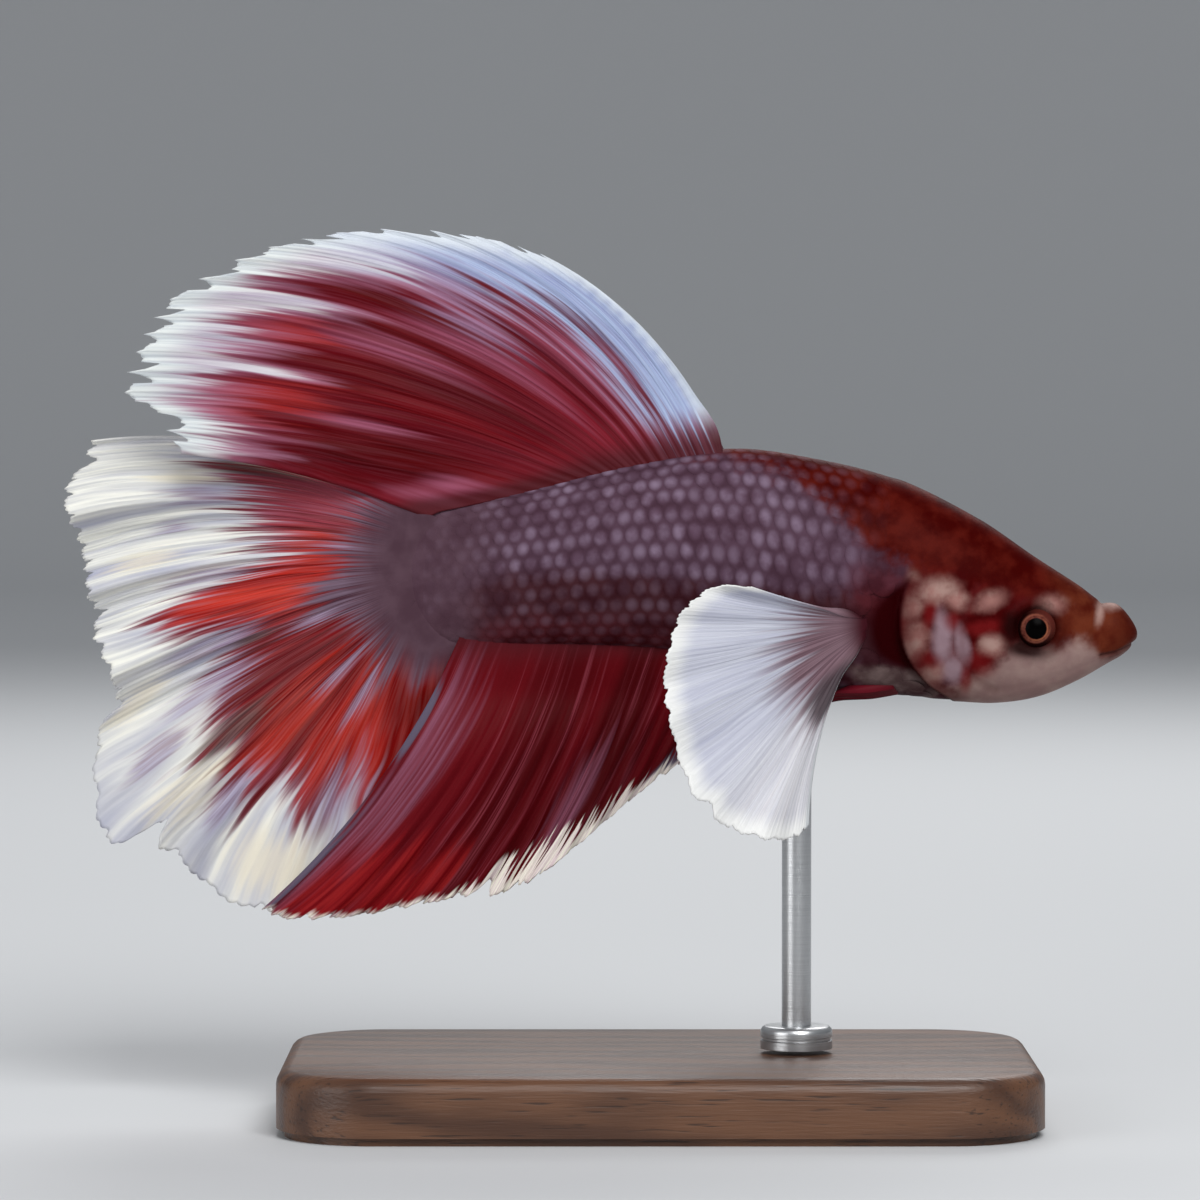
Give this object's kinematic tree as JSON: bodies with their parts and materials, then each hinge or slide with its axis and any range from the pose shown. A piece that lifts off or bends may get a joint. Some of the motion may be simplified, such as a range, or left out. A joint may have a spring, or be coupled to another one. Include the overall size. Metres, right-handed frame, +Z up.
{
  "type": "betta fish",
  "caption": "Life-size still male betta with spread ragged fins and large fan-shaped pectorals, swimming level on a rod above a flat wooden base.",
  "frame": {"origin": "centre of the stand base's underside", "axes": "+X towards the head, +Z up, -Y towards the fish's right side"},
  "size_m": [0.0661, 0.029, 0.0547],
  "materials": {
    "head_skin": "moist satin skin, dark red with mottled pink cheeks",
    "body_scales": "overlapping satin scales, plum with lilac centres",
    "eye": "glossy, black pupil in a copper iris",
    "red_fin": "satin ribbed web, crimson with white streaks and edge",
    "pectoral_fin": "satin ribbed web, white with a mauve base",
    "stand_wood": "oiled dark walnut",
    "stand_steel": "brushed"
  },
  "bodies": {
    "root": {"head": "head_skin", "lower_jaw": "head_skin", "gill_cover_left": "head_skin", "gill_cover_right": "head_skin", "eye_left": "eye", "eye_right": "eye", "trunk": "body_scales", "tail_root": "body_scales", "dorsal_fin": "red_fin", "caudal_fin": "red_fin", "anal_fin": "red_fin", "pectoral_fin_left": "pectoral_fin", "pectoral_fin_right": "pectoral_fin", "pelvic_fin_left": "red_fin", "pelvic_fin_right": "red_fin", "stand_base": "stand_wood", "stand_collar": "stand_steel", "stand_rod": "stand_steel"}
  },
  "joints": []
}
